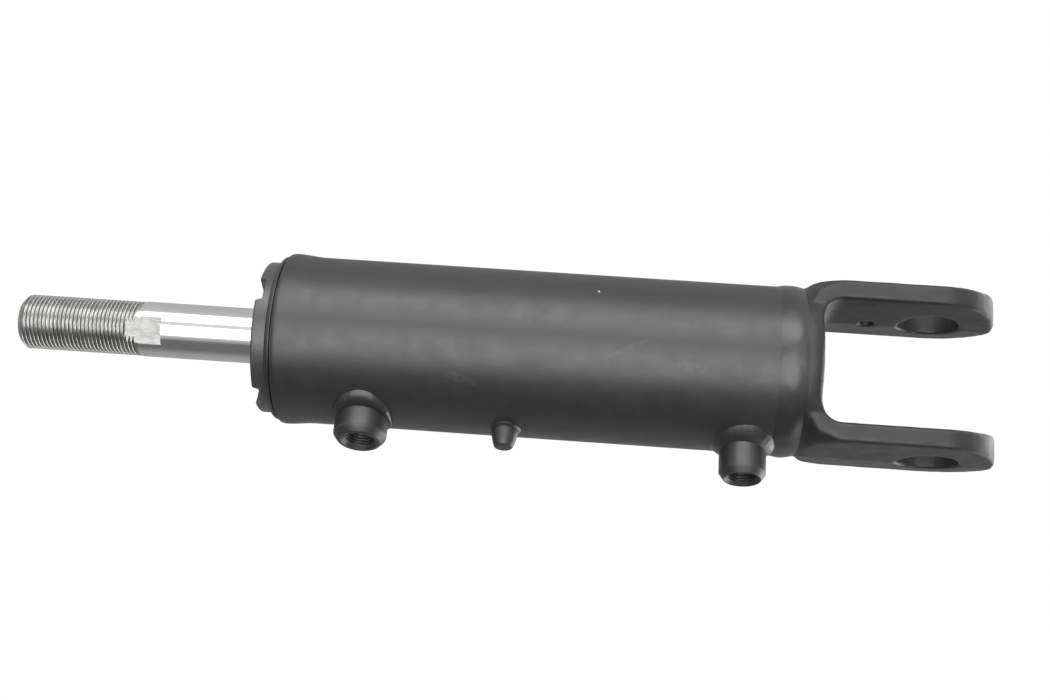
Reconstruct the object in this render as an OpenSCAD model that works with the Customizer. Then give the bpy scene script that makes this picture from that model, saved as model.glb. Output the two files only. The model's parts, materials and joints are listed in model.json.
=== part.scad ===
// Double-acting hydraulic steering cylinder: welded fork at the base, threaded rod end.
// X runs along the cylinder from the fork to the rod end, and Z along the fork's pin.
// The origin is the centre of the fork's pin hole. All sizes are in millimetres.

/* [Tube] */
// Outer radius of the tube
tube_r = 38.1; // [37.5:0.1:39]
// Radius of the honed bore
bore_r = 31.75; // [31.5:0.05:32]
// Distance from the pin to the butt joint with the fork
tube_start = 62; // [60:0.5:64]
// Distance from the pin to the tube's open end
tube_end = 294; // [292:0.5:300]
// How far the collar at the open end stands proud of the tube
collar_rise = 1; // [0.4:0.1:1.5]
// Length of the swelling behind the collar
collar_run = 15; // [8:1:20]
// Radius of the counterbore that takes the gland's thread
gland_thread_bore_r = 33.35; // [33.3:0.05:33.6]

/* [Fork] */
// Half the width of an ear, and the radius of its round end
ear_r = 28.6; // [26:0.1:30]
// Radius of the pin hole
pin_hole_r = 13.5; // [12:0.1:14.3]
// Half the gap between the ears, on their centre line
gap_half = 24.2; // [22:0.1:25]
// Half the gap between the ears, at their side edges
gap_half_edge = 27.7; // [26:0.1:28.5]
// Distance from the axis to an ear's outer face, on its centre line
ear_outer = 38.6; // [37:0.1:39.5]
// Distance from the axis to an ear's outer face, at its side edges
ear_outer_edge = 36.3; // [35:0.1:37]
// Distance from the pin to the bottom of the gap
gap_bottom = 51.3; // [49:0.1:53]
// Radius of the corners at the bottom of the gap
gap_fillet = 9; // [5:0.5:12]
// Distance from the pin to the small keeper-bolt hole in the upper ear
keeper_x = 27.6; // [24:0.1:30]
// Radius of the keeper-bolt hole
keeper_r = 3.4; // [2.5:0.1:4]
// Distance from the pin to the face that closes the tube
plug_face = 76; // [74:0.5:76.5]

/* [Ports] */
// Distance from the pin to the head port
head_port_x = 251.3; // [248:0.1:253]
// How far the head port points below horizontal
head_port_angle = 74; // [60:1:100]
// Outer radius of the head port's boss
head_boss_r = 11.8; // [11:0.1:13]
// Distance from the axis to the head port's mouth
head_boss_end = 50.3; // [48:0.1:54]
// Distance from the pin to the base port
base_port_x = 82.4; // [82:0.1:84]
// How far the base port and the stud point below horizontal
base_port_angle = 78; // [60:1:100]
// Outer radius of the base port's boss
base_boss_r = 10.3; // [9.8:0.1:12]
// Distance from the axis to the base port's mouth
base_boss_end = 54; // [52:0.1:58]
// Radius of the ports' thread
port_thread_r = 6.45; // [6:0.05:6.8]
// Radius of the oil passage under the thread
passage_r = 4.8; // [3:0.1:5]
// Distance from the pin to the locating stud
stud_x = 187.7; // [180:0.1:195]
// Distance from the axis to the stud's tip
stud_end = 46.8; // [44:0.1:50]

/* [Gland] */
// Distance from the pin to the gland's front face
gland_front = 300.5; // [300:0.1:303]
// Radius of the gland's castellated flange
flange_r = 34.5; // [34:0.1:35.5]
// Width of a spanner notch
notch_w = 11.5; // [8:0.5:13]
// Depth of a spanner notch
notch_depth = 2.9; // [2:0.1:3.5]
// Distance from the pin to the gland's innermost face, which stops the piston
gland_stop = 240; // [238:0.5:241]

/* [Rod] */
// Radius of the chromed rod
rod_r = 12.7; // [12.6:0.05:12.8]
// Distance from the pin to the rod's tip, fully retracted
rod_tip = 414; // [405:0.5:425]
// Radius over the crests of the rod-end thread
rod_thread_r = 12.5; // [12.3:0.05:12.5]
// Pitch of the rod-end thread
rod_pitch = 1.814; // [1.5:0.001:2.2]
// Number of turns of the rod-end thread
rod_thread_turns = 29; // [25:1:31]
// Distance across the wrench flats
across_flats = 22; // [21:0.1:23]
// Distance from the pin to the start of the flats
flats_start = 347; // [340:0.5:350]
// Length of the flats
flats_len = 17; // [12:0.5:20]
// How far the nearer flat faces below horizontal
flats_angle = 18; // [0:1:90]

/* [Piston] */
// Distance from the pin to the piston's pressure face on the rod side, fully retracted
piston_front = 125.5; // [124:0.1:126]
// Thickness of the piston
piston_len = 30; // [28:0.5:30]
// Thickness of the washer under the nut
washer_len = 3; // [2:0.5:4]
// Height of the piston nut
nut_len = 16; // [14:0.5:16]
// Distance across the piston nut's flats
nut_across_flats = 28.6; // [28:0.1:30]
// Radius of the rod where the piston sits
spigot_r = 9.5; // [9:0.1:10]

/* [Hidden] */
// the sides of a full turn, for the visible surfaces
$fn = 180;
// running clearance of a seal or guide band on the part that slides in it
run_gap = 0.03;
// gap between a seal and the groove that carries it
fit_gap = 0.05;
// clearance of the piston in the bore, taken up by its guide bands
piston_gap = 0.3;
// a small overlap that keeps cutters clear of the faces they open
eps = 0.01;

weld_rise = 0.95;
weld_start = 58.9;
weld_end = 70.6;
weld_root_r = 33;
weld_skirt = 6;
weld_toe = 0.1;
plug_r = bore_r - 0.05;
root_neck_x = 57;
root_flare_x = 42;
ear_corner_r = 46;
ear_steps = 36;
fillet_steps = 10;

collar_front = tube_end - 3.1;
collar_r = tube_r + collar_rise;
mouth_r = tube_r - 1.9;
thread_relief_x = 276;

pilot_start = 260;
pilot_r = bore_r - 0.05;
nose_r = 22;
gland_bore_r = rod_r + 0.1;
gland_thread_r = gland_thread_bore_r - 0.05;
gland_pitch = 2;
notch_angles = [-24, 66, 156, 246];
notch_inner_r = 24;

rod_groove_r = 17.2;
band_groove_r = 15.2;
wiper_groove_r = 16.5;
wiper_lip_r = 14.4;
o_ring_floor_r = 28.9;

thread_land = 1 / 8;
thread_depth = 0.61;
tip_chamfer = 2.5;
rod_thread_start = rod_tip - tip_chamfer - rod_thread_turns * rod_pitch;

spigot_pitch = 1.5875;
spigot_thread_r = spigot_r - 0.1;
rod_back = piston_front - piston_len - washer_len - nut_len + 0.5;
piston_back = piston_front - piston_len;
piston_r = bore_r - piston_gap;
band_floor_r = 29.2;
energiser_floor_r = 26.5;
band_len = 6;
seal_len = 6;

// ---- building blocks ----

// Turns a profile of [radius, distance along X] points about the cylinder's axis.
module turned(profile) {
    rotate([0, 90, 0])
        rotate_extrude()
            polygon(profile);
}

// A plain ring between two distances along X.
module ring(from, to, inner, outer) {
    turned([[inner, from], [outer, from], [outer, to], [inner, to]]);
}

// Stands its children, built along +Z, out of the axis at a distance along X
// and at an angle below horizontal, on the +Y side.
module outward(x, angle) {
    translate([x, 0, 0])
        rotate([-(angle + 90), 0, 0])
            children();
}

// A round bar along X, used to shape the foot of whatever stands on the tube.
module tube_bar(radius) {
    translate([tube_start, 0, 0])
        rotate([0, 90, 0])
            cylinder(h = tube_end - tube_start, r = radius);
}

// Points of an arc from one angle to another.
function arc(centre, radius, from, to, steps) = [
    for (i = [0:steps])
        let (a = from + (to - from) * i / steps)
            centre + radius * [cos(a), sin(a)]
];

// Profile points of a 60 degree thread drawn as ring grooves, from one distance to another.
function thread_profile(crest_r, pitch, from, to) = [
    for (x = [from : pitch : to - pitch + eps])
        each [
            [crest_r, x],
            [crest_r, x + pitch * thread_land],
            [crest_r - pitch * thread_depth, x + pitch * 0.5],
            [crest_r - pitch * thread_depth, x + pitch * (0.5 + thread_land)],
        ]
];

// ---- tube, fork and welds ----

module barrel_tube() {
    swell = [
        for (i = [0:8])
            let (t = i / 8)
                [tube_r + collar_rise * (1 - cos(180 * t)) / 2, collar_front - collar_run * (1 - t)]
    ];
    lip = arc([mouth_r, collar_front], collar_r - mouth_r, 0, 80, 6);
    color("#3b3b3c")
        difference() {
            turned(concat(
                [[bore_r, tube_start], [weld_root_r, tube_start], [tube_r, weld_end]],
                swell,
                lip,
                [
                    [mouth_r, tube_end],
                    [gland_thread_bore_r, tube_end],
                    [gland_thread_bore_r, thread_relief_x],
                    [bore_r, thread_relief_x - 1.5],
                ]
            ));
            for (port = [[head_port_x, head_port_angle], [base_port_x, base_port_angle]])
                outward(port[0], port[1])
                    translate([0, 0, bore_r - 4])
                        cylinder(h = 14, r = passage_r);
        }
}

// The space between the ears, on one side of the parting plane. Its walls open
// outwards by the forging draft, and its bottom corners are round.
module gap_side(side) {
    draft = atan((gap_half_edge - gap_half) / ear_r);
    corner = [gap_bottom - gap_fillet, gap_half - gap_fillet];
    slab = concat(
        [[-80, gap_half], [-80, -80], [gap_bottom, -80]],
        arc(corner, gap_fillet, 0, 90, fillet_steps)
    );
    intersection_for (ear = [0, 1])
        mirror([0, 0, ear])
            translate([0, 0, gap_half])
                rotate([side * draft, 0, 0])
                    translate([0, 50, -gap_half])
                        rotate([90, 0, 0])
                            linear_extrude(100)
                                polygon(slab);
}

// Both ears as one block: a forged section, trimmed by the plan outline and the flare at the root.
module ear_block() {
    section = [
        [ear_r, ear_outer_edge], [0, ear_outer], [-ear_r, ear_outer_edge],
        [-ear_r, -ear_outer_edge], [0, -ear_outer], [ear_r, -ear_outer_edge],
    ];
    plan = concat(
        [[root_neck_x, -ear_r], [root_neck_x, ear_r]],
        arc([0, 0], ear_r, 90, 270, ear_steps)
    );
    intersection() {
        translate([-50, 0, 0])
            rotate([90, 0, 90])
                linear_extrude(120)
                    polygon(section);
        translate([0, 0, -50])
            linear_extrude(100)
                polygon(plan);
        turned([
            [0, -40], [60, -40], [60, root_flare_x - 12], [ear_corner_r, root_flare_x],
            [ear_corner_r - 3.4, root_neck_x - 4], [tube_r - 0.4, root_neck_x], [0, root_neck_x],
        ]);
    }
}

module clevis_fork() {
    color("#343435")
        difference() {
            union() {
                turned([
                    [0, gap_bottom - 4], [tube_r - 0.4, gap_bottom - 4], [tube_r - 0.4, root_neck_x],
                    [tube_r, weld_start], [weld_root_r, tube_start], [plug_r, tube_start],
                    [plug_r, plug_face - 1.5], [plug_r - 1.5, plug_face], [0, plug_face],
                ]);
                ear_block();
            }
            for (side = [-1, 1])
                intersection() {
                    gap_side(side);
                    translate([-80, side > 0 ? -eps : eps - 60, -60])
                        cube([160, 60, 120]);
                }
            translate([0, 0, -50])
                cylinder(h = 100, r = pin_hole_r);
            translate([keeper_x, 0, 0])
                cylinder(h = 50, r = keeper_r);
        }
}

module base_weld() {
    half = (weld_end - weld_start) / 2;
    crown_r = (half * half + weld_rise * weld_rise) / (2 * weld_rise);
    spread = asin(half / crown_r);
    crown = arc([tube_r + weld_rise - crown_r, (weld_start + weld_end) / 2], crown_r, -spread, spread, 12);
    color("#3f3f40")
        turned(concat([[weld_root_r, tube_start]], crown));
}

// ---- ports and stud ----

// A threaded boss saddled onto the tube. Its outer edge is eased off over a shoulder's
// height and a bevel's width.
module port_boss(x, angle, radius, end, shoulder, bevel) {
    mouth = 1.6;
    thread_floor = end - 12;
    difference() {
        outward(x, angle)
            difference() {
                rotate_extrude()
                    polygon([
                        [0, tube_r - 8], [radius, tube_r - 8], [radius, end - shoulder],
                        [radius - 0.3 * bevel, end - 0.35 * shoulder], [radius - bevel, end], [0, end],
                    ]);
                translate([0, 0, thread_floor])
                    cylinder(h = 20, r = port_thread_r);
                translate([0, 0, end - mouth])
                    cylinder(h = mouth + eps, r1 = port_thread_r, r2 = port_thread_r + mouth);
                translate([0, 0, tube_r - 20])
                    cylinder(h = 30, r = passage_r);
            }
        tube_bar(tube_r);
    }
}

module head_port_boss() {
    color("#353537")
        port_boss(head_port_x, head_port_angle, head_boss_r, head_boss_end, 2.4, 2.4);
}

module base_port_boss() {
    color("#353537")
        port_boss(base_port_x, base_port_angle, base_boss_r, base_boss_end, 3, 2);
}

// A fillet weld around a round foot. leg is its width on the tube, and rise its height on the foot.
module foot_weld(x, angle, radius, leg, rise) {
    difference() {
        outward(x, angle)
            rotate_extrude()
                polygon([
                    [radius, tube_r - weld_skirt], [radius, tube_r + rise],
                    [radius + leg, tube_r + weld_toe],
                    [radius + leg + 0.25 * weld_skirt, tube_r - weld_skirt],
                ]);
        tube_bar(tube_r);
    }
}

module head_port_weld() {
    color("#404042")
        foot_weld(head_port_x, head_port_angle, head_boss_r, 5, 2.6);
}

module base_port_weld() {
    color("#404042")
        difference() {
            foot_weld(base_port_x, base_port_angle, base_boss_r, 5.5, 5.5);
            base_weld();
        }
}

stud_foot_r = 6.2;

module locating_stud() {
    tip_r = 3.4;
    nose = arc([tip_r - 0.6, stud_end - 2.2], 2.2, 8, 90, 6);
    color("#2f2f31")
        difference() {
            outward(stud_x, base_port_angle)
                rotate_extrude()
                    polygon(concat(
                        [[0, tube_r - 4], [stud_foot_r, tube_r - 4], [stud_foot_r, tube_r + 1.5]],
                        nose,
                        [[0, stud_end]]
                    ));
            tube_bar(tube_r);
        }
}

module locating_stud_weld() {
    color("#363638")
        foot_weld(stud_x, base_port_angle, stud_foot_r, 1.2, 1.2);
}

// ---- gland and what it carries ----

wiper_back = gland_front - 6;
wear_outer_x = gland_front - 14.5;
seal_heel_x = gland_front - 17.5;
seal_mouth_x = gland_front - 27;
wear_inner_x = pilot_start + 3;
wear_len = 5;
o_ring_x = pilot_start + 6;
o_ring_groove_len = 5.4;

module head_gland() {
    color("#39393a")
        difference() {
            turned(concat(
                [[gland_bore_r, gland_stop], [nose_r - 1, gland_stop], [nose_r, gland_stop + 1]],
                [[nose_r, pilot_start - 3], [nose_r + 3, pilot_start], [pilot_r - 1, pilot_start]],
                [[pilot_r, pilot_start + 1], [pilot_r, o_ring_x], [o_ring_floor_r, o_ring_x]],
                [[o_ring_floor_r, o_ring_x + o_ring_groove_len], [pilot_r, o_ring_x + o_ring_groove_len]],
                [[pilot_r, thread_relief_x]],
                thread_profile(gland_thread_r, gland_pitch, thread_relief_x + 1.5, tube_end - 2),
                [[gland_thread_r - 1.2, tube_end - 1.9], [gland_thread_r - 1.2, tube_end]],
                [[flange_r - 0.8, tube_end], [flange_r, tube_end + 0.8], [flange_r, gland_front - 1.4]],
                [[flange_r - 0.4, gland_front - 0.4], [flange_r - 1.4, gland_front]],
                [[wiper_lip_r, gland_front], [wiper_lip_r, gland_front - 0.8]],
                [[wiper_groove_r, gland_front - 0.8], [wiper_groove_r, wiper_back], [gland_bore_r, wiper_back]],
                [[gland_bore_r, wear_outer_x + wear_len], [band_groove_r, wear_outer_x + wear_len]],
                [[band_groove_r, wear_outer_x], [gland_bore_r, wear_outer_x]],
                [[gland_bore_r, seal_heel_x], [rod_groove_r, seal_heel_x]],
                [[rod_groove_r, seal_mouth_x], [gland_bore_r, seal_mouth_x]],
                [[gland_bore_r, wear_inner_x + wear_len], [band_groove_r, wear_inner_x + wear_len]],
                [[band_groove_r, wear_inner_x], [gland_bore_r, wear_inner_x]]
            ));
            for (angle = notch_angles)
                outward(gland_front - notch_depth, angle)
                    translate([0, -notch_w / 2, notch_inner_r])
                        cube([notch_depth + 1, notch_w, 20]);
        }
}

module rod_wiper() {
    lip_r = rod_r + run_gap;
    color("#1d1d1f")
        turned([
            [rod_r + 0.6, wiper_back + fit_gap], [wiper_groove_r - fit_gap, wiper_back + fit_gap],
            [wiper_groove_r - fit_gap, gland_front - 0.9], [wiper_lip_r - 0.1, gland_front - 0.9],
            [wiper_lip_r - 0.3, gland_front + 0.4], [lip_r + 0.3, gland_front + 1.6],
            [lip_r, gland_front + 1.4], [lip_r, gland_front + 0.6], [rod_r + 0.7, gland_front - 1.4],
        ]);
}

// A lip seal: a U whose open side faces the oil.
module rod_seal() {
    heel = seal_heel_x - 2.4;
    mouth = seal_mouth_x + 0.3;
    mid = (rod_r + rod_groove_r) / 2;
    color("#22324a")
        turned([
            [rod_r + 0.3, heel], [rod_r + run_gap, mouth + 1.4], [rod_r + 0.5, mouth],
            [mid - 0.9, mouth], [mid - 0.3, mouth + 3.2], [mid + 0.3, mouth + 3.2], [mid + 0.9, mouth],
            [rod_groove_r - 0.5, mouth], [rod_groove_r - fit_gap, mouth + 1.4], [rod_groove_r - fit_gap, heel],
        ]);
}

module rod_seal_backup() {
    color("#d9d2bd")
        ring(seal_heel_x - 2.3, seal_heel_x - 0.1, rod_r + run_gap, rod_groove_r - fit_gap);
}

// A guide band, cut through on a slant so that it can be sprung into its groove.
module guide_band(from, length, inner, outer) {
    difference() {
        ring(from + 0.1, from + length - 0.1, inner, outer);
        translate([from + length / 2, 0, outer])
            rotate([0, 0, 30])
                cube([4 * length, 0.8, 10], center = true);
    }
}

module rod_wear_ring_outer() {
    color("#8a5a2c")
        guide_band(wear_outer_x, wear_len, rod_r + run_gap, band_groove_r - fit_gap);
}

module rod_wear_ring_inner() {
    color("#8a5a2c")
        guide_band(wear_inner_x, wear_len, rod_r + run_gap, band_groove_r - fit_gap);
}

// An O-ring squeezed flat where it bears, in a groove between two radii.
module squeezed_ring(centre_x, inner, outer) {
    half = (outer - inner) / 2;
    side = arc([(inner + outer) / 2, centre_x], half * 1.12, -63, 63, 6);
    other = arc([(inner + outer) / 2, centre_x], half * 1.12, 117, 243, 6);
    rotate([0, 90, 0])
        rotate_extrude()
            intersection() {
                polygon(concat(side, other));
                translate([inner, centre_x - 2 * half])
                    square([outer - inner, 4 * half]);
            }
}

module gland_o_ring() {
    color("#161617")
        squeezed_ring(o_ring_x + 1.8, o_ring_floor_r + fit_gap, bore_r - fit_gap);
}

module gland_backup_ring() {
    color("#d9d2bd")
        ring(o_ring_x + 3.6, o_ring_x + o_ring_groove_len - 0.1, o_ring_floor_r + fit_gap, bore_r - fit_gap);
}

// ---- piston seals ----

seal_x = piston_back + (piston_len - seal_len) / 2;
band_base_x = piston_back + 3;
band_head_x = piston_front - 3 - band_len;

module piston_seal() {
    color("#4d6b50")
        ring(seal_x + 0.1, seal_x + seal_len - 0.1, band_floor_r + fit_gap, bore_r - run_gap);
}

module piston_seal_energiser() {
    color("#161617")
        squeezed_ring(seal_x + seal_len / 2, energiser_floor_r + fit_gap, band_floor_r);
}

module piston_wear_ring_head() {
    color("#8a5a2c")
        guide_band(band_head_x, band_len, band_floor_r + fit_gap, bore_r - run_gap);
}

module piston_wear_ring_base() {
    color("#8a5a2c")
        guide_band(band_base_x, band_len, band_floor_r + fit_gap, bore_r - run_gap);
}

// ---- rod and piston ----

// One of the two wrench flats, as the block that is milled away.
module flat_cutter(angle) {
    outward(flats_start, angle)
        translate([0, -20, across_flats / 2])
            cube([flats_len, 40, 20]);
}

module piston_rod() {
    core_r = rod_thread_r - rod_pitch * thread_depth;
    color("#c9cacc")
        difference() {
            turned(concat(
                [[0, rod_back], [spigot_thread_r - 1.2, rod_back]],
                thread_profile(spigot_thread_r, spigot_pitch, rod_back + 1.2, piston_back - washer_len),
                [[spigot_r, piston_back - washer_len + 1], [spigot_r, piston_front]],
                [[rod_r - 0.8, piston_front], [rod_r, piston_front + 0.8]],
                [[rod_r, rod_thread_start - 1], [core_r, rod_thread_start - 0.2]],
                thread_profile(rod_thread_r, rod_pitch, rod_thread_start, rod_tip - tip_chamfer),
                [[rod_thread_r, rod_tip - tip_chamfer], [rod_thread_r - tip_chamfer, rod_tip], [0, rod_tip]]
            ));
            flat_cutter(flats_angle);
            flat_cutter(flats_angle + 180);
        }
}

module piston() {
    o_ring_centre = piston_back + piston_len / 2;
    bore = spigot_r + 0.02;
    color("#77797b")
        turned([
            [bore, piston_back], [piston_r - 1.2, piston_back], [piston_r, piston_back + 1.2],
            [piston_r, band_base_x], [band_floor_r, band_base_x],
            [band_floor_r, band_base_x + band_len], [piston_r, band_base_x + band_len],
            [piston_r, seal_x], [energiser_floor_r, seal_x],
            [energiser_floor_r, seal_x + seal_len], [piston_r, seal_x + seal_len],
            [piston_r, band_head_x], [band_floor_r, band_head_x],
            [band_floor_r, band_head_x + band_len], [piston_r, band_head_x + band_len],
            [piston_r, piston_front - 1.2], [piston_r - 1.2, piston_front], [bore, piston_front],
            [bore, o_ring_centre + 1.7], [bore + 2, o_ring_centre + 1.7],
            [bore + 2, o_ring_centre - 1.7], [bore, o_ring_centre - 1.7],
        ]);
}

module piston_rod_o_ring() {
    color("#161617")
        squeezed_ring(piston_back + piston_len / 2, spigot_r + fit_gap, spigot_r + 2 - fit_gap);
}

module piston_washer() {
    color("#8d8f91")
        ring(piston_back - washer_len, piston_back, spigot_r + 0.1, 17);
}

module piston_nut() {
    top = piston_back - washer_len;
    corner_r = nut_across_flats / 2 / cos(30);
    color("#7c7d7a")
        difference() {
            intersection() {
                translate([top - nut_len, 0, 0])
                    rotate([0, 90, 0])
                        cylinder(h = nut_len, r = corner_r, $fn = 6);
                turned([
                    [0, top - nut_len], [corner_r - 2, top - nut_len], [corner_r + 0.6, top - nut_len + 1.5],
                    [corner_r + 0.6, top - 1.5], [corner_r - 2, top], [0, top],
                ]);
            }
            translate([top - nut_len - 1, 0, 0])
                rotate([0, 90, 0])
                    cylinder(h = nut_len + 2, r = spigot_thread_r + 0.05);
        }
}

barrel_tube();
clevis_fork();
base_weld();
head_port_boss();
head_port_weld();
base_port_boss();
base_port_weld();
locating_stud();
locating_stud_weld();
head_gland();
rod_wiper();
rod_seal();
rod_seal_backup();
rod_wear_ring_outer();
rod_wear_ring_inner();
gland_o_ring();
gland_backup_ring();
piston_seal();
piston_seal_energiser();
piston_wear_ring_head();
piston_wear_ring_base();
piston_rod();
piston();
piston_rod_o_ring();
piston_washer();
piston_nut();
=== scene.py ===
"""Looks of a double-acting hydraulic steering cylinder.

Black painted tube, fork and bosses, a castellated gland and a chromed rod with a threaded end.
Lengths are in millimetres in the row frame until a mesh is made, which is in metres.
"""

import json
import math

import bmesh
import bpy
from mathutils import Matrix, Vector, noise


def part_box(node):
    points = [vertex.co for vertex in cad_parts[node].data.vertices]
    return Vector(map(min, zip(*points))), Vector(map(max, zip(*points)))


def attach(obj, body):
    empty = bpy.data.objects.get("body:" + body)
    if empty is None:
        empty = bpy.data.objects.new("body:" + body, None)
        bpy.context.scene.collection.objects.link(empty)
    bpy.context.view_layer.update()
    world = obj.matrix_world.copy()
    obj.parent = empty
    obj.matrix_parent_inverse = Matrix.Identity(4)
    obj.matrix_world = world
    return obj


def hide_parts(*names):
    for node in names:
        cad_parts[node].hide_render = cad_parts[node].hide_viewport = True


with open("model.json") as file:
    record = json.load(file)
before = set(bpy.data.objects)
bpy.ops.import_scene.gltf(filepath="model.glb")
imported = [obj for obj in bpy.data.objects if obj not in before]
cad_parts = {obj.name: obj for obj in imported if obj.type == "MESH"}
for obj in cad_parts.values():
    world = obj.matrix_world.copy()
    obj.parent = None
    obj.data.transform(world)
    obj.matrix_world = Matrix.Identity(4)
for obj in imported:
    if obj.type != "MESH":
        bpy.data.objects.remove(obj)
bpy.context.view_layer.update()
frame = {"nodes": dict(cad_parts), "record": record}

MM = 0.001
FULL_TURN = 2 * math.pi


# ---- sizes taken from the frame ----

def span(node):
    """Lowest and highest corner of a CAD node, in millimetres."""
    low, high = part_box(node)
    return low / MM, high / MM


MOUNTS = {mount["name"]: mount for mount in frame["record"]["mounts"]}

tube_low, tube_high = span("barrel_tube")
gland_low, gland_high = span("head_gland")
rod_low, rod_high = span("piston_rod")
fork_low, fork_high = span("clevis_fork")
weld_low, weld_high = span("base_weld")
piston_low, piston_high = span("piston")

TUBE_START, TUBE_END = tube_low.x, tube_high.x
TUBE_R = fork_high.y
COLLAR_R = tube_high.z
BORE_R = span("piston_seal")[1].z + 0.03
ROD_R = rod_high.z
ROD_TIP = rod_high.x
PORTS = {
    name: {
        "axis": Vector(MOUNTS[name]["axis"]),
        "centre": Vector((MOUNTS[name]["pos_m"][0] / MM, 0, 0)),
        "middle": Vector(MOUNTS[name]["pos_m"]).dot(Vector(MOUNTS[name]["axis"])) / MM,
        "thread_r": MOUNTS[name]["dims"]["r_mm"],
        "thread_len": MOUNTS[name]["dims"]["length_mm"],
    }
    for name in ("head_port", "base_port")
}
stud_low, stud_high = span("locating_stud")
STUD = {"axis": PORTS["base_port"]["axis"], "centre": Vector(((stud_low.x + stud_high.x) / 2, 0, 0))}
PASSAGE_R = 4.8
WELD_ROOT_R = 33.0


# ---- meshes ----

def smoothstep(low, high, value):
    t = min(max((value - low) / (high - low), 0.0), 1.0)
    return t * t * (3 - 2 * t)


def rounded(corners, steps=5):
    """A profile through (along, radius, rounding) corners, with an arc at each that has a rounding."""
    points = []
    for i, (x, r, rounding) in enumerate(corners):
        here = Vector((x, r))
        before = Vector(corners[i - 1][:2]) - here
        after = Vector(corners[(i + 1) % len(corners)][:2]) - here
        if rounding <= 0 or before.length < 1e-6 or after.length < 1e-6:
            points.append((x, r))
            continue
        half = before.angle(after) / 2
        reach = min(rounding / math.tan(half), before.length * 0.49, after.length * 0.49)
        start, end = here + before.normalized() * reach, here + after.normalized() * reach
        for k in range(steps + 1):
            t = k / steps
            bend = start * (1 - t) ** 2 + here * 2 * t * (1 - t) + end * t ** 2
            points.append((bend.x, bend.y))
    return points


def finish_mesh(name, bm, sharp=35):
    bmesh.ops.remove_doubles(bm, verts=bm.verts, dist=1e-4)
    bmesh.ops.dissolve_degenerate(bm, edges=bm.edges, dist=1e-5)
    bmesh.ops.recalc_face_normals(bm, faces=bm.faces)
    bm.transform(Matrix.Scale(MM, 4))
    mesh = bpy.data.meshes.new(name)
    bm.to_mesh(mesh)
    bm.free()
    for polygon in mesh.polygons:
        polygon.use_smooth = True
    mesh.set_sharp_from_angle(angle=math.radians(sharp))
    piece = bpy.data.objects.new(name, mesh)
    bpy.context.scene.collection.objects.link(piece)
    return piece


def rings_to_mesh(rings, closed):
    """Joins rings of points, each a closed loop of the same length, into one surface."""
    bm = bmesh.new()
    loops = [[bm.verts.new(p) for p in ring] for ring in rings]
    count = len(loops[0])
    last = len(loops) if closed else len(loops) - 1
    for i in range(last):
        a, b = loops[i], loops[(i + 1) % len(loops)]
        for j in range(count):
            k = (j + 1) % count
            bm.faces.new((a[j], a[k], b[k], b[j]))
    return bm


def lathe(profile, segments=192, closed=False, shape=None, axis=None):
    """Turns (along, radius) points about X, or about axis. shape(along, radius, angle) may move a point."""
    if axis is None:
        along, side, up = Vector((1, 0, 0)), Vector((0, 1, 0)), Vector((0, 0, 1))
    else:
        along, side = axis, Vector((1, 0, 0))
        up = along.cross(side)
    rings = []
    for x, r in profile:
        ring = []
        for j in range(segments):
            angle = FULL_TURN * j / segments
            px, pr = shape(x, r, angle) if shape else (x, r)
            ring.append(along * px + (side * math.cos(angle) + up * math.sin(angle)) * pr)
        rings.append(ring)
    return rings_to_mesh(rings, closed)


def moved(bm, offset):
    bmesh.ops.translate(bm, verts=bm.verts, vec=offset)
    return bm


def baked(piece):
    """Gives a piece the mesh that its modifiers make, and drops them."""
    graph = bpy.context.evaluated_depsgraph_get()
    mesh = bpy.data.meshes.new_from_object(piece.evaluated_get(graph))
    piece.modifiers.clear()
    piece.data = mesh
    return piece


def cut(piece, cutters):
    """Takes the cutters out of a piece."""
    for cutter in cutters:
        step = piece.modifiers.new("cut", "BOOLEAN")
        step.operation = "DIFFERENCE"
        step.solver = "MANIFOLD"
        step.object = cutter
        baked(piece)
        bpy.data.objects.remove(cutter)
    return piece


def place(piece, body, node, material):
    """Lets a piece stand for a CAD node, riding on its body."""
    piece.data.materials.clear()
    for entry in material if isinstance(material, list) else [material]:
        piece.data.materials.append(entry)
    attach(piece, body)
    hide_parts(node)
    return piece


# ---- materials ----

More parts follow.
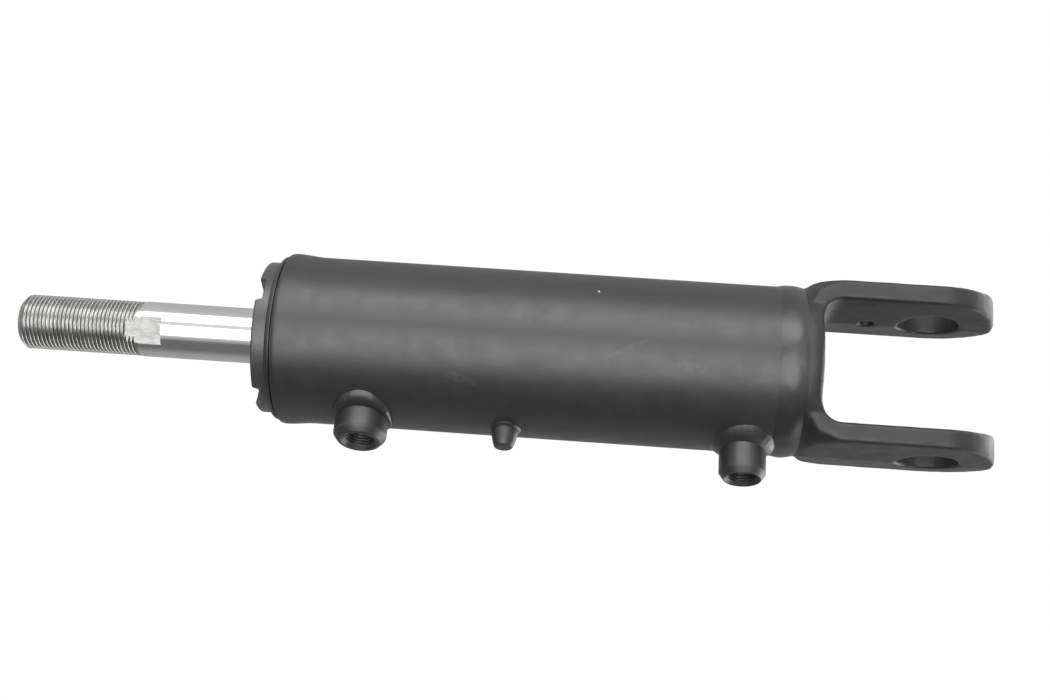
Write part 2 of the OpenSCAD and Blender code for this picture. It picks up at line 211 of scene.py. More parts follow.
class Shader:
    """A Principled material with small helpers for its procedural inputs."""

    def __init__(self, name, color, roughness, metallic=0.0, **sockets):
        self.material = bpy.data.materials.new(name)
        self.material.use_nodes = True
        self.tree = self.material.node_tree
        self.surface = self.tree.nodes["Principled BSDF"]
        self.surface.inputs["Base Color"].default_value = (*color, 1)
        self.surface.inputs["Roughness"].default_value = roughness
        self.surface.inputs["Metallic"].default_value = metallic
        for socket, value in sockets.items():
            self.surface.inputs[socket.replace("_", " ")].default_value = value
        self.place = self.node("ShaderNodeTexCoord").outputs["Object"]
        self.normal = None

    def node(self, kind, **values):
        node = self.tree.nodes.new(kind)
        for name, value in values.items():
            setattr(node, name, value)
        return node

    def link(self, output, node_input):
        self.tree.links.new(output, node_input)

    def noise(self, size, detail=3.0, roughness=0.55, stretch=(1, 1, 1)):
        """Noise with features of a size in millimetres, stretched along the axes."""
        mapping = self.node("ShaderNodeMapping")
        mapping.inputs["Scale"].default_value = [1 / (s * size * MM) for s in stretch]
        texture = self.node("ShaderNodeTexNoise")
        texture.inputs["Scale"].default_value = 1.0
        texture.inputs["Detail"].default_value = detail
        texture.inputs["Roughness"].default_value = roughness
        self.link(self.place, mapping.inputs["Vector"])
        self.link(mapping.outputs["Vector"], texture.inputs["Vector"])
        return texture.outputs["Fac"]

    def remap(self, value, low, high, to_low=0.0, to_high=1.0):
        node = self.node("ShaderNodeMapRange", clamp=True)
        for socket, number in zip(("From Min", "From Max", "To Min", "To Max"), (low, high, to_low, to_high)):
            node.inputs[socket].default_value = number
        self.link(value, node.inputs["Value"])
        return node.outputs["Result"]

    def math(self, operation, a, b):
        node = self.node("ShaderNodeMath", operation=operation)
        for socket, value in zip(node.inputs, (a, b)):
            if isinstance(value, (int, float)):
                socket.default_value = value
            else:
                self.link(value, socket)
        return node.outputs["Value"]

    def blend(self, mask, base, other):
        """base where the mask is 0, other where it is 1. Each is a colour or an output."""
        node = self.node("ShaderNodeMix", data_type="RGBA")
        self.link(mask, node.inputs["Factor"])
        for socket, value in ((node.inputs[6], base), (node.inputs[7], other)):
            if isinstance(value, tuple):
                socket.default_value = (*value, 1)
            else:
                self.link(value, socket)
        return node.outputs[2]

    def mark(self, centre, along, length, width):
        """A soft-edged streak, 1 in its middle, about a point in the row frame."""
        normal = Vector((0, centre[1], centre[2])).normalized()
        run = Vector(along).normalized()
        across = normal.cross(run)
        offset = self.node("ShaderNodeVectorMath", operation="SUBTRACT")
        offset.inputs[1].default_value = Vector(centre) * MM
        self.link(self.place, offset.inputs[0])
        parts = []
        for direction, size in ((run, length / 2), (across, width / 2), (normal, 6)):
            dot = self.node("ShaderNodeVectorMath", operation="DOT_PRODUCT")
            dot.inputs[1].default_value = direction / (size * MM)
            self.link(offset.outputs["Vector"], dot.inputs[0])
            parts.append(self.math("POWER", self.math("ABSOLUTE", dot.outputs["Value"], 0), 2))
        total = self.math("ADD", self.math("ADD", parts[0], parts[1]), parts[2])
        return self.remap(total, 1.0, 0.35)

    def bump(self, height, depth):
        node = self.node("ShaderNodeBump")
        node.inputs["Distance"].default_value = depth * MM
        self.link(height, node.inputs["Height"])
        if self.normal:
            self.link(self.normal, node.inputs["Normal"])
        self.normal = node.outputs["Normal"]
        self.link(self.normal, self.surface.inputs["Normal"])

    def color(self, output):
        self.link(output, self.surface.inputs["Base Color"])

    def rough(self, output):
        self.link(output, self.surface.inputs["Roughness"])


PAINT_BLACK = (0.017, 0.017, 0.0172)
PAINT_WORN = (0.034, 0.033, 0.032)
PAINT_THIN = (0.042, 0.041, 0.040)
PAINT_SCRATCHED = (0.075, 0.075, 0.074)
BARE_NICK = (0.5, 0.5, 0.49)


def paint(name, peel=0.02, dust=0.5, roughness=0.40, gloss=0.9, color=PAINT_BLACK):
    """Satin black paint: an orange-peel skin, patches of handling wear and a little dust."""
    shader = Shader(name, color, roughness, Specular_IOR_Level=gloss)
    patches = shader.remap(shader.noise(26, detail=5, roughness=0.6), 0.42, 0.7)
    tone = shader.blend(patches, color, tuple(c * 1.25 for c in color))
    grit = shader.remap(shader.noise(1.1, detail=2), 0.66, 0.74, 0, dust)
    shader.tone = shader.blend(grit, tone, PAINT_WORN)
    shader.color(shader.tone)
    shader.rough(shader.remap(shader.noise(9, detail=4), 0.3, 0.75, roughness - 0.05, roughness + 0.09))
    shader.bump(shader.noise(1.6, detail=2), peel)
    shader.bump(shader.noise(7, detail=2), peel * 1.6)
    return shader


def tube_paint():
    """The tube's paint, with the scratches, specks and scuff that its near side carries."""
    shader = paint("tube_paint")

    def on_tube(x, below):
        angle = math.radians(below)
        return (x, TUBE_R * math.cos(angle), -TUBE_R * math.sin(angle))

    def streak(x1, below1, x2, below2, width):
        start, end = Vector(on_tube(x1, below1)), Vector(on_tube(x2, below2))
        return shader.mark((start + end) / 2, end - start, (end - start).length, width)

    ragged = shader.remap(shader.noise(2.6, detail=5, roughness=0.6), 0.40, 0.75)
    nick = streak(150.4, -38, 149.6, -35.5, 0.9)
    scratch = shader.math("MULTIPLY", streak(147, 14, 122, -4, 2.6), ragged)
    specks = shader.math("MULTIPLY", streak(216, 29, 198, 38, 5), ragged)
    scuff = shader.math("MULTIPLY", streak(117, 14, 98, 17, 6), ragged)
    faint = shader.math("MAXIMUM", shader.math("MAXIMUM", scratch, specks), scuff)
    toned = shader.blend(shader.math("MULTIPLY", faint, 0.55), shader.tone, PAINT_SCRATCHED)
    shader.color(shader.blend(nick, toned, BARE_NICK))
    return shader.material


def chrome():
    """Hard chrome, ground and polished, with fine rings from the grinding."""
    bright, clouded = (0.80, 0.80, 0.81), (0.74, 0.745, 0.75)
    shader = Shader("hard_chrome", bright, 0.09, 1.0)
    rings = shader.noise(1, detail=2, stretch=(0.25, 12, 12))
    shader.rough(shader.remap(rings, 0.3, 0.7, 0.07, 0.13))
    cloud = shader.remap(shader.noise(18, detail=3), 0.35, 0.7)
    shader.color(shader.blend(cloud, bright, clouded))
    shader.bump(rings, 0.0012)
    return shader.material


def machined(name, color, roughness, lines=(0.3, 8, 8), depth=0.006):
    """Bare cut metal with the marks of the tool."""
    shader = Shader(name, color, roughness, 1.0)
    marks = shader.noise(1, detail=3, stretch=lines)
    shader.rough(shader.remap(marks, 0.3, 0.7, roughness - 0.06, roughness + 0.1))
    film = shader.remap(shader.noise(6, detail=4), 0.4, 0.7)
    shader.color(shader.blend(film, color, tuple(c * 0.72 for c in color)))
    shader.bump(marks, depth)
    return shader.material


def moulded(name, color, roughness, grain=1.2):
    """A moulded or turned plastic or rubber part."""
    shader = Shader(name, color, roughness, Specular_IOR_Level=0.4)
    cloud = shader.remap(shader.noise(5, detail=3), 0.35, 0.7)
    shader.color(shader.blend(cloud, color, tuple(min(1, c * 1.35) for c in color)))
    shader.rough(shader.remap(shader.noise(grain), 0.3, 0.7, roughness - 0.06, roughness + 0.08))
    shader.bump(shader.noise(grain * 0.5), 0.01)
    return shader.material


def phenolic():
    """Woven cloth in resin, as guide rings are made of."""
    shader = Shader("phenolic_cloth", (0.42, 0.22, 0.09), 0.55)
    warp = shader.node("ShaderNodeTexWave", wave_type="BANDS", bands_direction="X")
    weft = shader.node("ShaderNodeTexWave", wave_type="BANDS", bands_direction="DIAGONAL")
    for wave in (warp, weft):
        wave.inputs["Scale"].default_value = 0.31 / MM
        wave.inputs["Distortion"].default_value = 1.5
        shader.link(shader.place, wave.inputs["Vector"])
    weave = shader.math("MULTIPLY", warp.outputs["Fac"], weft.outputs["Fac"])
    shader.color(shader.blend(weave, (0.36, 0.18, 0.07), (0.5, 0.29, 0.13)))
    shader.bump(weave, 0.02)
    return shader.material


TUBE_PAINT = tube_paint()
FORGED_PAINT = paint("forged_paint", peel=0.035, dust=0.7, roughness=0.46, gloss=0.6).material
WELD_PAINT = paint("weld_paint", peel=0.02, dust=0.3, roughness=0.30).material
BOSS_PAINT = paint("boss_paint", peel=0.015, dust=0.3, roughness=0.4).material
GLAND_PAINT = paint("gland_paint", peel=0.02, dust=0.4, roughness=0.34, color=PAINT_THIN).material
# Near-black walls for the pin and keeper holes: dark scale on the bore, plus painted shade for the dim inside
# of the holes.
HOLE_SCALE_AND_SHADE = moulded("hole_scale", (0.010, 0.010, 0.010), 0.55)
CHROME = chrome()
THREAD_STEEL = machined("thread_steel", (0.50, 0.50, 0.49), 0.30, depth=0.0015)
MILLED_STEEL = machined("milled_steel", (0.40, 0.40, 0.395), 0.42, lines=(4, 0.3, 4), depth=0.01)
PLAIN_STEEL = machined("plain_steel", (0.5, 0.5, 0.49), 0.32)
DUCTILE_IRON = machined("ductile_iron", (0.3, 0.3, 0.31), 0.4)
POLYURETHANE = moulded("polyurethane", (0.03, 0.03, 0.035), 0.4)
RUBBER = moulded("nitrile_rubber", (0.02, 0.02, 0.02), 0.6)
PTFE = moulded("ptfe", (0.78, 0.75, 0.67), 0.45)
FILLED_PTFE = moulded("filled_ptfe", (0.14, 0.27, 0.18), 0.45)
PHENOLIC = phenolic()


# ---- tube ----

def barrel_tube():
    """The tube: its open end swells into a collar, with a turned-in lip beyond a thin crease."""
    swell_start = TUBE_END - 19
    crease_x = TUBE_END - 3.1
    crest_x = crease_x - 2.6
    crease_r = COLLAR_R - 2.4
    lip_r = 36.0
    counterbore = 18
    gland_bore_r = 33.35
    swell = []
    for i in range(17):
        t = i / 16
        rise = (COLLAR_R - TUBE_R) * smoothstep(0, 1, t)
        swell.append((swell_start + (crest_x - swell_start) * t, TUBE_R + rise, 0))
    shoulder = []
    for i in range(1, 9):
        t = i / 8
        shoulder.append((crest_x + 2.5 * t, COLLAR_R - 0.9 * (1 - math.sqrt(1 - t * t)), 0))
    corners = [
        (TUBE_START, BORE_R, 0), (TUBE_START, WELD_ROOT_R, 0), (weld_high.x, TUBE_R, 0.2),
        *swell, *shoulder,
        (crease_x + 0.1, crease_r, 0.15),
        (crease_x + 0.5, crease_r, 0.15),
        (crease_x + 0.7, COLLAR_R - 1.3, 0.5),
        (TUBE_END - 0.8, COLLAR_R - 1.9, 0.9),
        (TUBE_END, lip_r, 0.7),
        (TUBE_END, gland_bore_r, 0.3),
        (TUBE_END - counterbore, gland_bore_r, 0.2),
        (TUBE_END - counterbore - 1.5, BORE_R, 0.3),
    ]
    tube = finish_mesh("tube_shell", lathe(rounded(corners), segments=256, closed=True), sharp=40)
    cutters = []
    for port in PORTS.values():
        low, high = BORE_R - 5, TUBE_R + 4
        drill = [(low, 0), (low, PASSAGE_R), (high, PASSAGE_R), (high, 0)]
        cutters.append(finish_mesh("hole", moved(lathe(drill, 48, axis=port["axis"]), port["centre"])))
    cut(tube, cutters)
    tube.data.set_sharp_from_angle(angle=math.radians(40))
    return place(tube, "barrel", "barrel_tube", TUBE_PAINT)


# ---- fork ----

def round_the_web(vertex):
    """Rounds off the rim of the web between the ears, where it meets the bottom of the gap."""
    gap_depth = 51.3
    gap_bottom = MOUNTS["clevis_pin"]["pos_m"][0] / MM + gap_depth
    rounding, drop, inner_r = 6.0, 4.0, 25.0
    web_half, ear_root = 16, 24
    x, y, z = vertex.co / MM
    r = math.hypot(y, z)
    t = min(max((gap_bottom + rounding - x) / rounding, 0.0), 1.0)
    if t == 0 or r < inner_r or x < gap_bottom - 3:
        return
    share = (r - inner_r) / (TUBE_R - inner_r) * (1 - smoothstep(web_half, ear_root, abs(z)))
    scale = 1 - drop * (1 - math.sqrt(1 - t * t)) * share / r
    vertex.co.y *= scale
    vertex.co.z *= scale


def clevis_fork():
    """The forging: the CAD fork with its edges worn round, then its holes cut clean."""
    source = frame["nodes"]["clevis_fork"]
    fork = bpy.data.objects.new("forged_fork", source.data.copy())
    bpy.context.scene.collection.objects.link(fork)
    skin = fork.modifiers.new("skin", "REMESH")
    skin.mode = "VOXEL"
    skin.voxel_size = 0.7 * MM
    ease = fork.modifiers.new("ease", "SMOOTH")
    ease.factor = 0.5
    ease.iterations = 22
    baked(fork)
    for vertex in fork.data.vertices:
        round_the_web(vertex)
    normals = [vertex.normal.copy() for vertex in fork.data.vertices]
    for vertex, normal in zip(fork.data.vertices, normals):
        p = vertex.co / MM
        if p.x > TUBE_START - 2:
            continue
        swell = noise.noise(p / 9) * 0.14 + noise.noise(p / 3.2) * 0.05
        vertex.co += normal * swell * MM
    pin_r = MOUNTS["clevis_pin"]["dims"]["r_mm"]
    keeper_r = MOUNTS["keeper_hole"]["dims"]["r_mm"]
    keeper_x = MOUNTS["keeper_hole"]["pos_m"][0] / MM
    up = Vector((0, 0, 1))
    face, sink, keeper_sink = fork_high.z, 1.4, 0.8
    pin_profile = [
        (-face - 2, 0), (-face - 2, pin_r + sink + 2), (-face + sink, pin_r), (face - sink, pin_r),
        (face + 2, pin_r + sink + 2), (face + 2, 0),
    ]
    keeper_profile = [
        (0, 0), (0, keeper_r), (face - keeper_sink, keeper_r),
        (face + 2, keeper_r + keeper_sink + 2), (face + 2, 0),
    ]
    keeper_mesh = moved(lathe(keeper_profile, 48, axis=up), Vector((keeper_x, 0, 0)))
    pin = finish_mesh("pin_cutter", lathe(pin_profile, 144, axis=up))
    keeper = finish_mesh("keeper_cutter", keeper_mesh)
    cut(fork, [pin, keeper])
    for polygon in fork.data.polygons:
        polygon.use_smooth = True
        centre = polygon.center / MM
        in_pin_hole = math.hypot(centre.x, centre.y) < pin_r + 0.1
        in_keeper_hole = math.hypot(centre.x - keeper_x, centre.y) < keeper_r + 0.1
        # The hole walls take the second material. It paints the shade inside the holes as well as their
        # scale.
        polygon.material_index = 1 if in_pin_hole or in_keeper_hole else 0
    fork.data.set_sharp_from_angle(angle=math.radians(40))
    return place(fork, "barrel", "clevis_fork", [FORGED_PAINT, HOLE_SCALE_AND_SHADE])


# ---- welds ----

def base_weld():
    """The girth weld: a low bead with the chevrons of its runs and a slightly wandering edge."""
    middle = (weld_low.x + weld_high.x) / 2
    half = (weld_high.x - weld_low.x) / 2
    crown = weld_high.z - TUBE_R
    reach = half * 1.06
    rows = 40
    profile = [(middle + reach * (2 * i / rows - 1), 1.0) for i in range(rows + 1)]

    def bead(x, _, angle):
        u = (x - middle) / reach
        wander = noise.noise(Vector((math.cos(angle) * 2.2, math.sin(angle) * 2.2, 4.0)))
        flank = max(0.0, 1 - u * u) ** 1.5
        height = crown * flank * (0.95 + 0.45 * wander) - 0.12 * abs(u) ** 8
        chevron = math.sin(TUBE_R * angle / 1.5 + 2.4 * u * u + 1.5 * wander)
        lump = noise.noise(Vector((math.cos(angle) * 5, math.sin(angle) * 5, x / 5)))
        ripple = (0.03 * chevron + 0.16 * lump) * flank
        return x + 0.5 * wander, TUBE_R + height + ripple

    lip = [(middle + half, WELD_ROOT_R), (middle - half, WELD_ROOT_R)]

    def shape(x, r, angle):
        return (x, r) if r > 1 else bead(x, r, angle)

    weld = finish_mesh("girth_weld", lathe(profile + lip, 420, closed=True, shape=shape), sharp=60)
    return place(weld, "barrel", "base_weld", WELD_PAINT)


def foot_bead(name, node, foot, foot_r, along_tube, around_tube, on_foot, bulge, ripples):
    """A fillet weld round a round foot on the tube. Its leg is longer around the tube than along it."""
    axis, side = foot["axis"], Vector((1, 0, 0))
    up = axis.cross(side)
    segments, rows = 260, 18
    rings = [[] for _ in range(rows + 1)]
    root = []
    for j in range(segments):
        angle = FULL_TURN * j / segments
        out = side * math.cos(angle) + up * math.sin(angle)
        uneven = 1 + 0.12 * noise.noise(Vector((math.cos(angle) * 1.6, math.sin(angle) * 1.6, foot_r)))
        lap = math.sin(ripples * angle + 3 * uneven)
        leg = (along_tube + (around_tube - along_tube) * math.sin(angle) ** 2) * uneven
        for i in range(rows + 1):
            t = i / rows
            hump = math.sin(math.pi * t)
            swell = (bulge + 0.03 * lap) * hump
            r = foot_r - 0.4 + (leg + 0.4) * (1 - t) + swell * 0.7
            level = math.sqrt(TUBE_R ** 2 - (min(r, TUBE_R - 1) * math.sin(angle)) ** 2)
            height = level - 0.3 + (on_foot * uneven + 0.3) * t + swell * 0.7
            rings[i].append(out * r + axis * height)
        root.append(out * (foot_r - 0.5) + axis * (TUBE_R - 6))
    rings.append(root)
    bm = moved(rings_to_mesh(rings, closed=True), foot["centre"])
    return place(finish_mesh(name, bm, sharp=70), "barrel", node, WELD_PAINT)


# ---- ports and stud ----

PORT_PITCH = 25.4 / 18
MOUTH_CHAMFER = 1.6
HEAD_BOSS_R = (span("head_port_boss")[1].x - span("head_port_boss")[0].x) / 2
BASE_BOSS_R = (span("base_port_boss")[1].x - span("base_port_boss")[0].x) / 2
STUD_R = (stud_high.x - stud_low.x) / 2
STUD_END = 46.8


def port_boss(name, node, port, outer_r, shoulder, bevel, rounding):
    """A threaded boss, its outer end rounded or bevelled and its thread cut as a true helix."""
    axis, thread_r, thread_len = port["axis"], port["thread_r"], port["thread_len"]
    floor, top = port["middle"] - thread_len / 2, port["middle"] + thread_len / 2
    end = top + MOUTH_CHAMFER
    foot = TUBE_R - 4
    rows = int(thread_len / PORT_PITCH * 10)
    thread = [(floor + 0.2 + (top - floor - 0.2) * i / rows, thread_r) for i in range(rows + 1)]
    outside = rounded([
        (top, thread_r, 0), (end, thread_r + MOUTH_CHAMFER, 0.15),
        (end, outer_r - bevel, rounding), (end - shoulder, outer_r, rounding), (foot, outer_r, 0),
    ])[1:]
    profile = [(foot, PASSAGE_R), (floor, PASSAGE_R), *thread, *outside]
    groove = 0.55

    def shape(z, r, angle):
        if abs(r - thread_r) > 1e-6 or not floor < z < top + 1e-6:
            return z, r
        phase = (z / PORT_PITCH - angle / FULL_TURN) % 1.0
        depth = smoothstep(0.1, 0.5, phase) - smoothstep(0.5, 0.9, phase)
        fade = smoothstep(floor, floor + PORT_PITCH, z)
        return z, r + groove * depth * fade

    bm = moved(lathe(profile, 120, closed=True, shape=shape, axis=axis), port["centre"])
    return place(finish_mesh(name, bm, sharp=38), "barrel", node, BOSS_PAINT)


def locating_stud():
    """The small solid stud between the ports, with a rounded, slightly battered nose."""
    foot = TUBE_R - 4
    waist, waist_r, nose_r = STUD_END - 2.4, 4.9, 4.0
    profile = rounded([
        (foot, 0, 0), (foot, STUD_R, 0), (TUBE_R + 1.2, STUD_R, 1.5),
        (waist, waist_r, 1.6), (STUD_END, nose_r, 1.4), (STUD_END, 0, 0),
    ], steps=8)

    def shape(z, r, angle):
        dent = noise.noise(Vector((math.cos(angle), math.sin(angle), z / 3))) * 0.12
        return z, r + dent * smoothstep(TUBE_R, TUBE_R + 2, z) * min(r / 3, 1)

    bm = moved(lathe(profile, 96, shape=shape, axis=STUD["axis"]), STUD["centre"])
    return place(finish_mesh("stud", bm, sharp=50), "barrel", "locating_stud", BOSS_PAINT)


# ---- gland and wiper ----

NOTCH_ANGLES = (-24, 66, 156, 246)
NOTCH_W = 11.5
NOTCH_DEPTH = 2.9
NOTCH_INNER_R = 24


def head_gland():
    """The gland: a castellated flange outside, and the grooves of its seals inside."""
    back, front = gland_low.x, gland_high.x
    flange_r = gland_high.z
    bore = ROD_R + 0.1
    seat = TUBE_END
    notch_root = seat + 0.8
    nose_r, pilot_r, pilot_start, pilot_end = 22, BORE_R - 0.05, 260, 276
    o_ring_start, o_ring_end, o_ring_r = 266, 271.4, 28.9
    thread_r, thread_end, relief_r = 33.2, 292, 32.1
    wiper_lip, wiper_depth, mouth_r, wiper_r = 0.8, 6, 14.4, 16.5
    band_r, seal_r = 15.2, 17.2
    edge = 0.55

    def groove(start, end, floor_r):
        return [(end, bore, 0), (end, floor_r, 0), (start, floor_r, 0), (start, bore, 0)]

    corners = [
        (back, bore, 0.2), (back, nose_r, 1), (pilot_start - 3, nose_r, 0), (pilot_start, nose_r + 3, 0),
        (pilot_start, pilot_r, 1),
        (o_ring_start, pilot_r, 0.1), (o_ring_start, o_ring_r, 0.1),
        (o_ring_end, o_ring_r, 0.1), (o_ring_end, pilot_r, 0.1),
        (pilot_end, pilot_r, 0), (pilot_end + 1, thread_r, 0), (thread_end, thread_r, 0),
        (thread_end + 0.2, relief_r, 0), (seat, relief_r, 0), (seat, flange_r, 0.5),
        (notch_root, flange_r, 0), (front - 2.6, flange_r, 0), (front, flange_r, 2.0),
        (front, 31, 0), (front, 28, 0), (front, NOTCH_INNER_R + 0.5, 0), (front, NOTCH_INNER_R - 0.5, 0),
        (front, 19, 0), (front, mouth_r, 0.5),
        (front - wiper_lip, mouth_r, 0.1), (front - wiper_lip, wiper_r, 0.1),
        (front - wiper_depth, wiper_r, 0.1), (front - wiper_depth, bore, 0.1),
        *groove(286, 291, band_r), *groove(273.5, 283, seal_r), *groove(263, 268, band_r),
    ]

    def shape(x, r, angle):
        if x <= notch_root or r < 18:
            return x, r
        mask = 0.0
        for notch in NOTCH_ANGLES:
            offset = angle + math.radians(notch)
            if math.cos(offset) > 0:
                across = abs(r * math.sin(offset))
                mask = max(mask, 1 - smoothstep(NOTCH_W / 2 - edge, NOTCH_W / 2 + edge, across))
        mask *= smoothstep(NOTCH_INNER_R - 0.6, NOTCH_INNER_R + 0.6, r)
        sunk = NOTCH_DEPTH * mask * (x - notch_root) / (front - notch_root)
        return x - sunk, r

    bm = lathe(rounded(corners, steps=8), 720, closed=True, shape=shape)
    gland = finish_mesh("castellated_gland", bm, sharp=50)
    return place(gland, "barrel", "head_gland", GLAND_PAINT)


# ---- rod ----

ROD_PITCH = 1.814
THREAD_R = MOUNTS["rod_thread"]["dims"]["r_mm"]
THREAD_TURNS = 29
TIP_CHAMFER = 2.5
THREAD_END = ROD_TIP - TIP_CHAMFER
THREAD_START = THREAD_END - THREAD_TURNS * ROD_PITCH
FLATS_START, FLATS_END = 347.0, 364.0
ACROSS_FLATS = 22.0
FLATS_BELOW = 18.0
SPIGOT_PITCH = 1.5875


def ridge(phase):
    """Depth of a 60 degree thread below its crest, from 0 to 1, over one turn."""
    return smoothstep(0.06, 0.44, phase) - smoothstep(0.56, 0.94, phase)


def rod_radius(x, angle):
    """Radius of the rod at a distance along it and at an angle about it."""
    spigot_r, spigot_tip_r, shoulder = 9.5, 8.2, piston_high.x
    spigot_thread_end = piston_low.x - 3
    spigot_thread_depth, thread_depth = 0.9, 1.08
    if x < shoulder:
        r = spigot_r
        if x < spigot_thread_end:
            phase = (x / SPIGOT_PITCH - angle / FULL_TURN) % 1.0
            r = spigot_r - 0.1 - spigot_thread_depth * ridge(phase)
        return min(r, spigot_tip_r + (x - rod_low.x))
    if x < THREAD_START - 0.9:
        r = min(ROD_R, ROD_R - 0.8 + (x - shoulder))
    else:
        run_in = smoothstep(THREAD_START - 0.6, THREAD_START + 0.9, x)
        crest = ROD_R + (THREAD_R - ROD_R) * run_in
        r = crest - thread_depth * ridge((x / ROD_PITCH - angle / FULL_TURN) % 1.0) * run_in
        r = min(r, THREAD_R - max(0.0, x - THREAD_END))
    if FLATS_START < x < FLATS_END:
        offset = angle + math.radians(FLATS_BELOW)
        r = min(r, ACROSS_FLATS / 2 / max(abs(math.cos(offset)), 0.2))
    return r


def piston_rod():
    """The rod: chrome, wrench flats and a true helical thread, turned as one surface."""
    def steps(start, end, size):
        count = max(1, round((end - start) / size))
        return [start + (end - start) * i / count for i in range(count)]

    seam = 0.02
    stations = steps(rod_low.x, piston_low.x - 3, SPIGOT_PITCH / 12)
    stations += [piston_low.x - 3, piston_high.x - seam, piston_high.x, piston_high.x + 0.8]
    stations += steps(piston_high.x + 1, FLATS_START - seam, 20)
    stations += [FLATS_START - seam, FLATS_START + seam]
    stations += steps(FLATS_START + 0.5, THREAD_START - 0.9, 1.0)
    stations += [x for x in steps(THREAD_START - 0.9, ROD_TIP, ROD_PITCH / 18) if abs(x - FLATS_END) > 0.06]
    stations += [FLATS_END - seam, FLATS_END + seam, ROD_TIP]
    profile = [(rod_low.x, 0.0)] + [(x, 1.0) for x in sorted(set(stations))] + [(ROD_TIP, 0.0)]

    def shape(x, r, angle):
        return (x, rod_radius(x, angle)) if r else (x, 0.0)

    rod = finish_mesh("chromed_rod", lathe(profile, 180, shape=shape), sharp=32)
    place(rod, "rod", "piston_rod", [CHROME, THREAD_STEEL, MILLED_STEEL])
    for polygon in rod.data.polygons:
        centre = polygon.center / MM
        x, radial = centre.x, math.hypot(centre.y, centre.z)
        if FLATS_START <= x <= FLATS_END and radial < ROD_R - 0.3 and x < THREAD_START - 0.9:
            polygon.material_index = 2
        elif FLATS_START <= x <= FLATS_END and on_flat(centre):
            polygon.material_index = 2
        elif x > THREAD_START - 0.9 or x < piston_high.x:
            polygon.material_index = 1
    return rod


def on_flat(point):
    """Whether a point lies on one of the two wrench flats."""
    below = math.radians(FLATS_BELOW)
    across = abs(point.y * math.cos(below) - point.z * math.sin(below))
    return abs(across - ACROSS_FLATS / 2) < 0.03


# ---- the parts ----

barrel_tube()
clevis_fork()
base_weld()
port_boss(
    "head_port", "head_port_boss", PORTS["head_port"], HEAD_BOSS_R,
    shoulder=3.0, bevel=2.4, rounding=2.2,
)
port_boss(
    "base_port", "base_port_boss", PORTS["base_port"], BASE_BOSS_R,
    shoulder=3.0, bevel=2.0, rounding=0.6,
)
foot_bead(
    "head_port_bead", "head_port_weld", PORTS["head_port"], HEAD_BOSS_R,
    along_tube=1.5, around_tube=5.6, on_foot=2.2, bulge=1.1, ripples=30,
)
foot_bead(
    "base_port_bead", "base_port_weld", PORTS["base_port"], BASE_BOSS_R,
    along_tube=4.2, around_tube=5.8, on_foot=3.6, bulge=0.5, ripples=26,
)
foot_bead(
    "stud_bead", "locating_stud_weld", STUD, STUD_R,
    along_tube=1.2, around_tube=1.6, on_foot=1.2, bulge=0.2, ripples=20,
)
locating_stud()
head_gland()
piston_rod()

KEPT = {
    "rod_wiper": POLYURETHANE,
    "rod_seal": POLYURETHANE,
    "rod_seal_backup": PTFE,
    "gland_backup_ring": PTFE,
    "rod_wear_ring_outer": PHENOLIC,
    "rod_wear_ring_inner": PHENOLIC,
    "piston_wear_ring_head": PHENOLIC,
    "piston_wear_ring_base": PHENOLIC,
    "gland_o_ring": RUBBER,
    "piston_seal_energiser": RUBBER,
    "piston_rod_o_ring": RUBBER,
    "piston_seal": FILLED_PTFE,
    "piston": DUCTILE_IRON,
    "piston_washer": PLAIN_STEEL,
    "piston_nut": PLAIN_STEEL,
}
for node_name, kept_material in KEPT.items():
    kept = frame["nodes"][node_name]
    kept.data.materials.clear()
    kept.data.materials.append(kept_material)


# ---- studio ----

# How bright the surroundings are, as a share of the softbox, at angles about the object's long
# axis in degrees: 0 is level in front of it, 90 is overhead and -90 is underneath.
SOFTBOX_LEVEL = 3.2
SOFTBOX = (
    (-180, 0.14), (-125, 0.12), (-95, 0.055), (-56, 0.055), (-44, 0.16), (-36, 0.20), (-31, 1.0), (5, 1.0),
    (9, 0.26), (23, 0.26), (27, 1.0), (58, 1.0), (66, 0.20), (100, 0.17), (180, 0.14),
)
ROOM = ((-180, 0.12), (-95, 0.045), (-50, 0.045), (-20, 0.14), (70, 0.20), (180, 0.12))
# Where the softbox fades out towards the rod's end and towards the fork's, and where the white
# backdrop beyond the fork and behind the object comes in: the X or Y of a unit direction.
ROD_SIDE_FADE = (0.62, 0.40)
FORK_SIDE_FADE = (-0.56, -0.34)
BACKDROP_X_FADE = (-0.35, -0.75)
BACKDROP_Y_FADE = (0.1, -0.3)


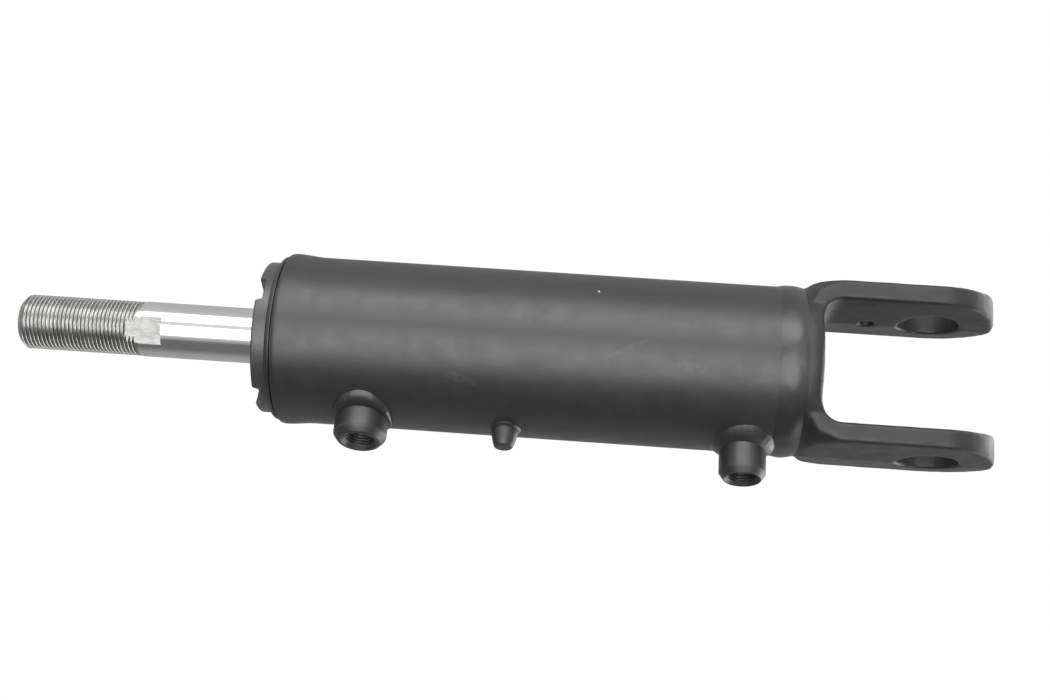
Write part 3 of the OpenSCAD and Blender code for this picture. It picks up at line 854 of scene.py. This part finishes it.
def studio_world():
    """White behind the object for the camera. For all else a front softbox in a dim grey room."""
    world = bpy.data.worlds.new("studio")
    world.use_nodes = True
    bpy.context.scene.world = world
    tree = world.node_tree
    links = tree.links

    def add(kind, **values):
        node = tree.nodes.new(kind)
        for name, value in values.items():
            setattr(node, name, value)
        return node

    def ramp(source, stops):
        node = add("ShaderNodeValToRGB")
        elements = node.color_ramp.elements
        for angle, value in stops[1:-1]:
            elements.new((angle + 180) / 360).color = (value, value, value, 1)
        for element, (_, value) in ((elements[0], stops[0]), (elements[-1], stops[-1])):
            element.color = (value, value, value, 1)
        links.new(source, node.inputs["Fac"])
        return node.outputs["Color"]

    def fade(source, start, end):
        node = add("ShaderNodeMapRange", interpolation_type="SMOOTHSTEP")
        node.inputs["From Min"].default_value = start
        node.inputs["From Max"].default_value = end
        links.new(source, node.inputs["Value"])
        return node.outputs["Result"]

    def mix(factor, base, other):
        node = add("ShaderNodeMix", data_type="RGBA")
        links.new(factor, node.inputs["Factor"])
        for socket, value in ((node.inputs[6], base), (node.inputs[7], other)):
            if isinstance(value, tuple):
                socket.default_value = value
            else:
                links.new(value, socket)
        return node.outputs[2]

    axes = add("ShaderNodeSeparateXYZ")
    links.new(add("ShaderNodeTexCoord").outputs["Generated"], axes.inputs["Vector"])
    about = add("ShaderNodeMath", operation="ARCTAN2")
    links.new(axes.outputs["Z"], about.inputs[0])
    links.new(axes.outputs["Y"], about.inputs[1])
    turn = add("ShaderNodeMapRange")
    turn.inputs["From Min"].default_value = -math.pi
    turn.inputs["From Max"].default_value = math.pi
    links.new(about.outputs["Value"], turn.inputs["Value"])
    turn = turn.outputs["Result"]

    left = fade(axes.outputs["X"], *ROD_SIDE_FADE)
    right = fade(axes.outputs["X"], *FORK_SIDE_FADE)
    inside = add("ShaderNodeMath", operation="MULTIPLY")
    links.new(left, inside.inputs[0])
    links.new(right, inside.inputs[1])
    light = mix(inside.outputs["Value"], ramp(turn, ROOM), ramp(turn, SOFTBOX))
    backdrop = add("ShaderNodeMath", operation="MULTIPLY")
    links.new(fade(axes.outputs["X"], *BACKDROP_X_FADE), backdrop.inputs[0])
    links.new(fade(axes.outputs["Y"], *BACKDROP_Y_FADE), backdrop.inputs[1])
    light = mix(backdrop.outputs["Value"], light, (1, 1, 1, 1))

    surround = tree.nodes["Background"]
    surround.inputs["Strength"].default_value = SOFTBOX_LEVEL
    links.new(light, surround.inputs["Color"])
    white = add("ShaderNodeBackground")
    white.inputs["Color"].default_value = (1, 1, 1, 1)
    choose = add("ShaderNodeMixShader")
    links.new(add("ShaderNodeLightPath").outputs["Is Camera Ray"], choose.inputs["Fac"])
    links.new(surround.outputs["Background"], choose.inputs[1])
    links.new(white.outputs["Background"], choose.inputs[2])
    links.new(choose.outputs["Shader"], tree.nodes["World Output"].inputs["Surface"])


OBJECT_MIDDLE = 0.19


def studio_floor():
    """A pale, slightly rough floor well below the object. Light from below passes through it."""
    level, reach = -1.6, 8.0
    pale, paler = (0.91, 0.91, 0.91), (0.92, 0.92, 0.92)
    bm = bmesh.new()
    bmesh.ops.create_grid(bm, x_segments=8, y_segments=8, size=reach)
    bmesh.ops.translate(bm, verts=bm.verts, vec=(OBJECT_MIDDLE, 0, level))
    mesh = bpy.data.meshes.new("floor")
    bm.to_mesh(mesh)
    bm.free()
    floor = bpy.data.objects.new("floor", mesh)
    bpy.context.scene.collection.objects.link(floor)
    floor.visible_diffuse = False
    floor.visible_glossy = False
    floor.visible_shadow = False
    shader = Shader("floor_paint", paler, 0.7)
    shade = shader.remap(shader.noise(60, detail=3), 0.3, 0.7)
    shader.color(shader.blend(shade, paler, pale))
    mesh.materials.append(shader.material)


def camera():
    """The camera, below the object and in front of it, looking up at it. Its place is in metres."""
    place_x, place_y, place_z = 0.15165, 0.62295, -0.15922
    yaw, pitch, roll = math.radians(2.78), math.radians(14.49), math.radians(4.5)
    level = Vector((math.sin(yaw), -math.cos(yaw), 0))
    right = level.cross(Vector((0, 0, 1)))
    forward = level * math.cos(pitch) + Vector((0, 0, 1)) * math.sin(pitch)
    up = right.cross(forward)
    right, up = (right * math.cos(roll) + up * math.sin(roll), up * math.cos(roll) - right * math.sin(roll))
    data = bpy.data.cameras.new("camera")
    data.lens = 48.32
    data.sensor_width = 36
    data.clip_start = 0.01
    view = bpy.data.objects.new("camera", data)
    view.matrix_world = Matrix((
        (right.x, up.x, -forward.x, place_x),
        (right.y, up.y, -forward.y, place_y),
        (right.z, up.z, -forward.z, place_z),
        (0, 0, 0, 1),
    ))
    bpy.context.scene.collection.objects.link(view)
    bpy.context.scene.camera = view


studio_world()
studio_floor()
camera()
bpy.context.scene.view_settings.view_transform = "Standard"
